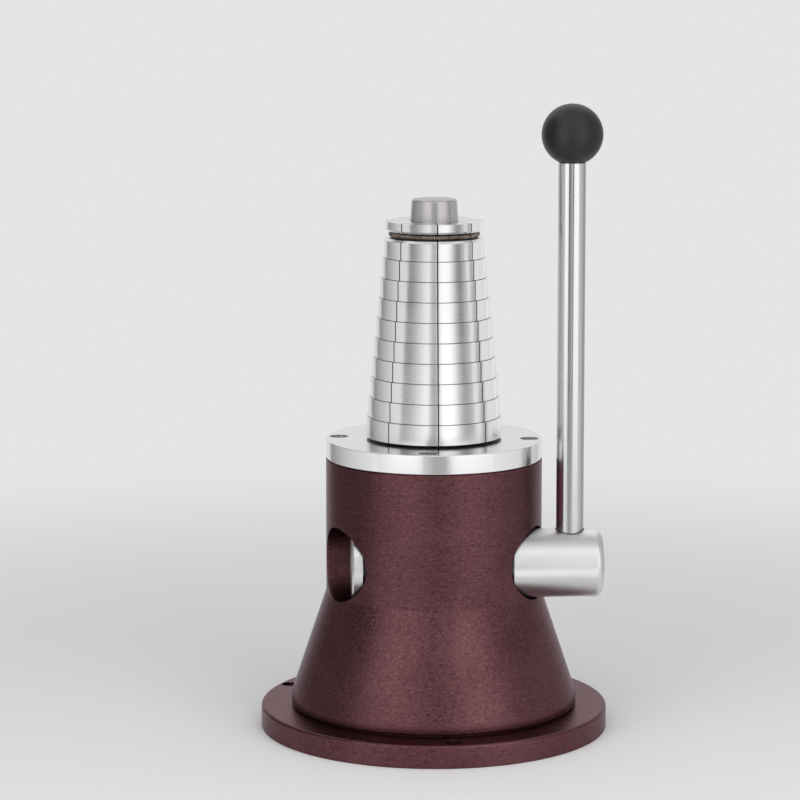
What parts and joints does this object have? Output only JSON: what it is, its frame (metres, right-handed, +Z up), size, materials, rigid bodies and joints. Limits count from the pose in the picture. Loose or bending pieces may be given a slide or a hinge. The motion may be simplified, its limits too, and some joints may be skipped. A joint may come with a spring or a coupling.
{
  "type": "ring stretcher",
  "caption": "Hand-lever bangle stretcher: a rack and pinion lifts a tapered cone that spreads the jaws of a stepped steel mandrel on a round painted cast base.",
  "frame": {"origin": "centre of the base's underside, on the mandrel's axis", "axes": "+Z up the mandrel, +X to the lever's side along the cross shaft, -Y towards the operator"},
  "size_m": [0.175, 0.175, 0.3161],
  "materials": {
    "maroon_paint": "fine wrinkle paint on cast iron",
    "polished_steel": "fine turned, polished",
    "mandrel_steel": "polished",
    "brushed_steel": "satin turned",
    "rod_steel": "bright drawn",
    "ground_steel": "ground grey",
    "spring_steel": "dark oiled",
    "dark_screw_steel": "plain",
    "bronze": "bearing bronze, bored",
    "brass": "turned",
    "black_plastic": "moulded, satin black"
  },
  "bodies": {
    "base": {"base_casting": "maroon_paint", "top_plate": "polished_steel", "plate_screws": "dark_screw_steel", "shaft_bush_left": "bronze", "shaft_bush_right": "bronze", "shaft_stop_screw": "dark_screw_steel", "garter_spring": "spring_steel", "lower_garter_spring": "spring_steel"},
    "lever": {"pinion_shaft": "brushed_steel", "lever_rod": "rod_steel", "lever_knob": "black_plastic", "knob_insert": "brass"},
    "expander": {"expander_cone": "ground_steel", "rack_bar": "ground_steel", "rack_stop_washer": "dark_screw_steel", "rack_stop_screw": "dark_screw_steel"},
    "jaw_1": {"jaw_1": "mandrel_steel"},
    "jaw_2": {"jaw_2": "mandrel_steel"},
    "jaw_3": {"jaw_3": "mandrel_steel"},
    "jaw_4": {"jaw_4": "mandrel_steel"},
    "jaw_5": {"jaw_5": "mandrel_steel"},
    "jaw_6": {"jaw_6": "mandrel_steel"},
    "jaw_7": {"jaw_7": "mandrel_steel"},
    "jaw_8": {"jaw_8": "mandrel_steel"}
  },
  "joints": [
    {"name": "lever_swing", "type": "hinge", "parent": "base", "child": "lever", "pos_m": [0.0665, -0.0224, 0.087], "axis": [1, 0, 0], "range_deg": [0, 100]},
    {"name": "rack_lift", "type": "slide", "parent": "base", "child": "expander", "axis": [0, 0, 1], "range_m": [0, 0.0246]},
    {"name": "jaw_1_slide", "type": "slide", "parent": "base", "child": "jaw_1", "axis": [0.3827, -0.9239, 0], "range_m": [0, 0.00155], "deforming": ["garter_spring", "lower_garter_spring"]},
    {"name": "jaw_2_slide", "type": "slide", "parent": "base", "child": "jaw_2", "axis": [0.9239, -0.3827, 0], "range_m": [0, 0.00155]},
    {"name": "jaw_3_slide", "type": "slide", "parent": "base", "child": "jaw_3", "axis": [0.9239, 0.3827, 0], "range_m": [0, 0.00155]},
    {"name": "jaw_4_slide", "type": "slide", "parent": "base", "child": "jaw_4", "axis": [0.3827, 0.9239, 0], "range_m": [0, 0.00155]},
    {"name": "jaw_5_slide", "type": "slide", "parent": "base", "child": "jaw_5", "axis": [-0.3827, 0.9239, 0], "range_m": [0, 0.00155]},
    {"name": "jaw_6_slide", "type": "slide", "parent": "base", "child": "jaw_6", "axis": [-0.9239, 0.3827, 0], "range_m": [0, 0.00155]},
    {"name": "jaw_7_slide", "type": "slide", "parent": "base", "child": "jaw_7", "axis": [-0.9239, -0.3827, 0], "range_m": [0, 0.00155]},
    {"name": "jaw_8_slide", "type": "slide", "parent": "base", "child": "jaw_8", "axis": [-0.3827, -0.9239, 0], "range_m": [0, 0.00155]}
  ],
  "couplings": [
    {"joint": "rack_lift", "follows": "lever_swing", "m_per_rad": 0.014},
    {"joint": "jaw_1_slide", "follows": "lever_swing", "m_per_rad": 0.000875},
    {"joint": "jaw_2_slide", "follows": "lever_swing", "m_per_rad": 0.000875},
    {"joint": "jaw_3_slide", "follows": "lever_swing", "m_per_rad": 0.000875},
    {"joint": "jaw_4_slide", "follows": "lever_swing", "m_per_rad": 0.000875},
    {"joint": "jaw_5_slide", "follows": "lever_swing", "m_per_rad": 0.000875},
    {"joint": "jaw_6_slide", "follows": "lever_swing", "m_per_rad": 0.000875},
    {"joint": "jaw_7_slide", "follows": "lever_swing", "m_per_rad": 0.000875},
    {"joint": "jaw_8_slide", "follows": "lever_swing", "m_per_rad": 0.000875}
  ]
}
